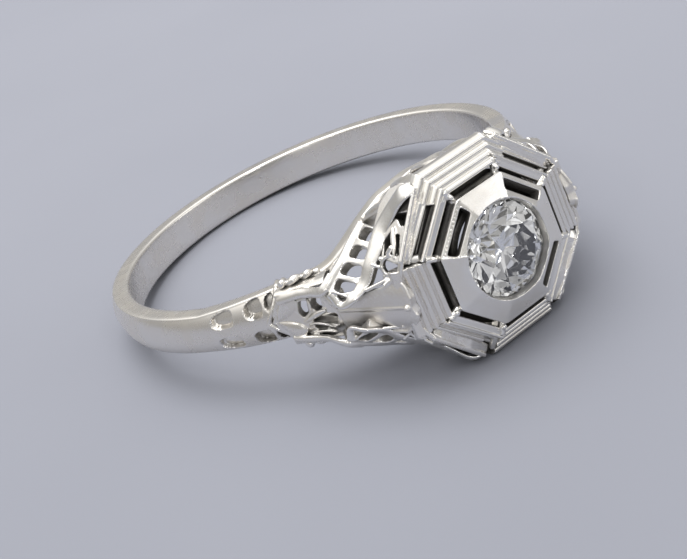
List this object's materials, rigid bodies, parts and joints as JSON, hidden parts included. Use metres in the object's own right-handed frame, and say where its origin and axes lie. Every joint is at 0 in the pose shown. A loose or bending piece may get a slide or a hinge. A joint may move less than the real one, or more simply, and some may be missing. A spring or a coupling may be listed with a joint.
{
  "type": "engagement ring",
  "caption": "Filigree finger ring with a round stone set flush in an eight-sided stepped head, pierced shoulders and a plain domed shank.",
  "frame": {"origin": "centre of the finger hole, half way across the band", "axes": "+Z along the finger hole, up while the ring lies on its side; +X towards the stone; -Y towards the near shoulder"},
  "size_m": [0.0233, 0.019, 0.0082],
  "materials": {
    "polished_white_gold": "polished white gold, bright edges, softly worn flats",
    "cast_white_gold": "satin white gold, darker in the recesses",
    "stone": "clear cut diamond"
  },
  "bodies": {
    "root": {"shank": "polished_white_gold", "collar_near": "polished_white_gold", "collar_far": "polished_white_gold", "rail_upper": "cast_white_gold", "rail_lower": "cast_white_gold", "rail_leaves": "polished_white_gold", "gallery_upper": "cast_white_gold", "gallery_lower": "cast_white_gold", "spray_near": "polished_white_gold", "spray_far": "polished_white_gold", "petals_near": "polished_white_gold", "petals_far": "polished_white_gold", "ladder_near_upper": "polished_white_gold", "ladder_near_lower": "polished_white_gold", "ladder_far_upper": "polished_white_gold", "ladder_far_lower": "polished_white_gold", "corner_near_upper": "polished_white_gold", "corner_near_lower": "polished_white_gold", "corner_far_upper": "polished_white_gold", "corner_far_lower": "polished_white_gold", "eyelet_near_upper": "polished_white_gold", "eyelet_near_lower": "polished_white_gold", "eyelet_far_upper": "polished_white_gold", "eyelet_far_lower": "polished_white_gold", "step_plate_upper": "polished_white_gold", "step_plate_lower": "polished_white_gold", "step_plate_near": "polished_white_gold", "step_plate_far": "polished_white_gold", "inner_wires": "polished_white_gold", "outer_wires": "polished_white_gold", "corner_bridges": "polished_white_gold", "bezel_plate": "polished_white_gold", "collet": "cast_white_gold", "diamond": "stone"}
  },
  "joints": []
}
